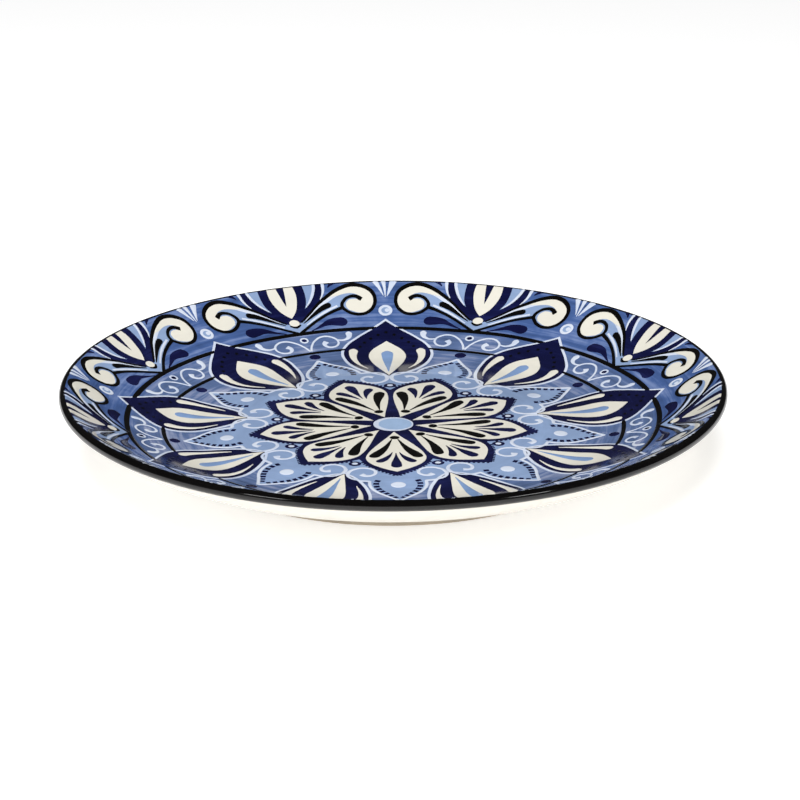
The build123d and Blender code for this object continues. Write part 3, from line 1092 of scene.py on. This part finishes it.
class PLATE_OT_rim_scrolls(bpy.types.Operator):
    """Paints the big paired scrolls of the rim, with commas, beads and rays"""

    bl_idname = "plate.rim_scrolls"
    bl_label = "Rim scrolls"

    def execute(self, context):
        white, navy, black, light = (mark(name) for name in ("white", "navy", "black", "light_blue"))
        painted(
            "scroll_light_grounds", [with_mirror(filled(SCROLL_GROUND))], LIFT_FIRST, light,
            ["rim_scrolls"], ODD)
        painted(
            "scroll_cream_bodies", [with_mirror(strokes(SCROLL_CREAM))], LIFT_FIRST, mark("cream"),
            ["rim_scrolls"], ODD)
        painted(
            "stem_shines", [with_mirror(strokes(*STEM_SHINES, heads=False))], LIFT_FIRST, white,
            ["rim_scrolls"], ODD)
        black_lines = strokes(SCROLL_OUTLINE, STEM_LINE, heads=False)
        stem_drop = strokes(STEM_DROP)
        painted(
            "scroll_black_outlines", [with_mirror(black_lines), with_mirror(stem_drop)], LIFT_SECOND, black,
            ["rim_scrolls"], ODD)
        painted("navy_commas", [with_mirror(strokes(COMMA))], LIFT_WASH, navy, ["rim_commas"], ODD)
        bead = [(2.3 * sin(radians(a)), 118.4 + 2.2 * cos(radians(a)), 1.3) for a in range(0, 360, 45)]
        painted("bead_blue_hearts", [dots((0, 118.4, 2.2, 2.1))], LIFT_WASH, light, ["rim_beads"], EVEN)
        # Each bead gets a white ring, and a small white dot beside its middle that is a painted highlight
        painted(
            "bead_rings_and_painted_highlights", [strokes(bead, heads=False, closed=True), dots((0.7, 118.5, 1.1, 1.0))],
            LIFT_WASH + 0.06, white, ["rim_beads"], EVEN)
        rays = strokes(*RAYS, heads=False)
        painted("white_rays", [rays], LIFT_WASH, white, ["rim_rays"], EVEN)
        return {"FINISHED"}


class PLATE_OT_stage(bpy.types.Operator):
    """Sets the pale floor, the soft lights and the camera"""

    bl_idname = "plate.stage"
    bl_label = "Stage"

    def execute(self, context):
        make_floor()
        make_lights()
        make_camera()
        return {"FINISHED"}


def make_floor():
    bm = bmesh.new()
    bmesh.ops.create_grid(bm, x_segments=1, y_segments=1, size=6.0)
    mesh = bpy.data.meshes.new("floor")
    bm.to_mesh(mesh)
    bm.free()
    floor = bpy.data.objects.new("floor", mesh)
    bpy.context.scene.collection.objects.link(floor)
    material = bpy.data.materials.new("pale floor")
    material.use_nodes = True
    shader = material.node_tree.nodes["Principled BSDF"]
    shader.inputs["Base Color"].default_value = (0.85, 0.85, 0.85, 1)
    shader.inputs["Roughness"].default_value = 0.8
    shader.inputs["Specular IOR Level"].default_value = 0.0
    shader.inputs["Emission Color"].default_value = (1, 1, 1, 1)
    shader.inputs["Emission Strength"].default_value = 0.5
    mesh.materials.append(material)


def area_light(name, place, target, size, power, mirrored_in_glaze=True):
    light = bpy.data.lights.new(name, "AREA")
    light.shape = "RECTANGLE"
    light.size, light.size_y = size
    light.energy = power
    lamp = bpy.data.objects.new(name, light)
    lamp.location = place
    lamp.rotation_euler = (Vector(target) - Vector(place)).to_track_quat("-Z", "Y").to_euler()
    lamp.visible_glossy = mirrored_in_glaze
    bpy.context.scene.collection.objects.link(lamp)


def make_lights():
    """A dark studio with a pale front horizon, a high soft box and one low on either side."""
    world = bpy.data.worlds.new("studio")
    bpy.context.scene.world = world
    world.use_nodes = True
    tree = world.node_tree
    apart = node(tree, "ShaderNodeSeparateXYZ")
    tree.links.new(node(tree, "ShaderNodeTexCoord").outputs["Generated"], apart.inputs[0])
    rise = node(tree, "ShaderNodeMapRange", interpolation_type="SMOOTHSTEP")
    for label, value in (("From Min", 0.06), ("From Max", 0.24), ("To Min", 0.45), ("To Max", 0.03)):
        rise.inputs[label].default_value = value
    tree.links.new(apart.outputs[2], rise.inputs["Value"])
    front = node(tree, "ShaderNodeMapRange", interpolation_type="SMOOTHSTEP")
    for label, value in (("From Min", 0.1), ("From Max", -0.3), ("To Min", 0.0), ("To Max", 1.0)):
        front.inputs[label].default_value = value
    tree.links.new(apart.outputs[1], front.inputs["Value"])
    glow = math_node(tree, "MAXIMUM", math_node(tree, "MULTIPLY", rise.outputs[0], front.outputs[0]), 0.03)
    tree.links.new(glow, tree.nodes["Background"].inputs["Strength"])
    tree.nodes["Background"].inputs["Color"].default_value = (1, 1, 1, 1)
    area_light("high soft box", (-0.15, -0.62, 1.45), (0, 0, 0), (1.1, 0.8), 28.5, mirrored_in_glaze=False)
    area_light("left soft box", (-1.1, -1.05, 0.95), (0, 0, 0.02), (0.4, 0.16), 2.2)
    area_light("right soft box", (1.1, -1.05, 0.95), (0, 0, 0.02), (0.4, 0.16), 2.2)


CAMERA_ELEVATION = radians(19.469)
CAMERA_SWING = radians(1.555)
CAMERA_ROLL = radians(-0.2925)
CAMERA_DISTANCE = 1.9548
CAMERA_LENS = 217.36


def make_camera():
    """A long lens, low in front of the plate."""
    target = Vector((0, 0, (LIP_HEIGHT + 0.5) * MM))
    back = Vector((
        -cos(CAMERA_ELEVATION) * sin(CAMERA_SWING), -cos(CAMERA_ELEVATION) * cos(CAMERA_SWING),
        sin(CAMERA_ELEVATION)))
    level = Vector((cos(CAMERA_SWING), -sin(CAMERA_SWING), 0))
    over = back.cross(level)
    right = level * cos(CAMERA_ROLL) + over * sin(CAMERA_ROLL)
    up = over * cos(CAMERA_ROLL) - level * sin(CAMERA_ROLL)
    data = bpy.data.cameras.new("camera")
    data.lens = CAMERA_LENS
    data.sensor_width = 36
    data.shift_x, data.shift_y = 0.00863, -0.01557
    camera = bpy.data.objects.new("camera", data)
    camera.matrix_world = Matrix((
        (right.x, up.x, back.x, 0), (right.y, up.y, back.y, 0), (right.z, up.z, back.z, 0), (0, 0, 0, 1)))
    camera.location = target + back * CAMERA_DISTANCE
    bpy.context.scene.collection.objects.link(camera)
    bpy.context.scene.camera = camera


OPERATORS = (
    PLATE_OT_stage, PLATE_OT_clay_body, PLATE_OT_outside_glaze, PLATE_OT_wash, PLATE_OT_lip, PLATE_OT_flower,
    PLATE_OT_medallion, PLATE_OT_leaves, PLATE_OT_lines, PLATE_OT_palmettes, PLATE_OT_rim_scrolls,
)


class PLATE_PT_panel(bpy.types.Panel):
    """Sizes, colours and the steps of making the plate"""

    bl_idname = "PLATE_PT_panel"
    bl_label = "Hand painted plate"
    bl_space_type = "VIEW_3D"
    bl_region_type = "UI"
    bl_category = "Plate"

    def draw(self, context):
        layout = self.layout
        for group in (context.scene.plate_sizes, context.scene.plate_colours):
            box = layout.box()
            for name in group.__annotations__:
                box.prop(group, name)
        for operator in OPERATORS:
            layout.operator(operator.bl_idname)


CLASSES = (PlateSizes, PlateColours, *OPERATORS, PLATE_PT_panel)


def register():
    for each in CLASSES:
        bpy.utils.register_class(each)
    bpy.types.Scene.plate_sizes = PointerProperty(type=PlateSizes)
    bpy.types.Scene.plate_colours = PointerProperty(type=PlateColours)


def unregister():
    del bpy.types.Scene.plate_colours
    del bpy.types.Scene.plate_sizes
    for each in reversed(CLASSES):
        bpy.utils.unregister_class(each)


def main():
    register()
    bpy.context.scene.view_settings.view_transform = "Standard"
    for operator in OPERATORS:
        group, name = operator.bl_idname.split(".")
        getattr(getattr(bpy.ops, group), name)()
    bpy.context.view_layer.update()


if __name__ == "__main__":
    main()
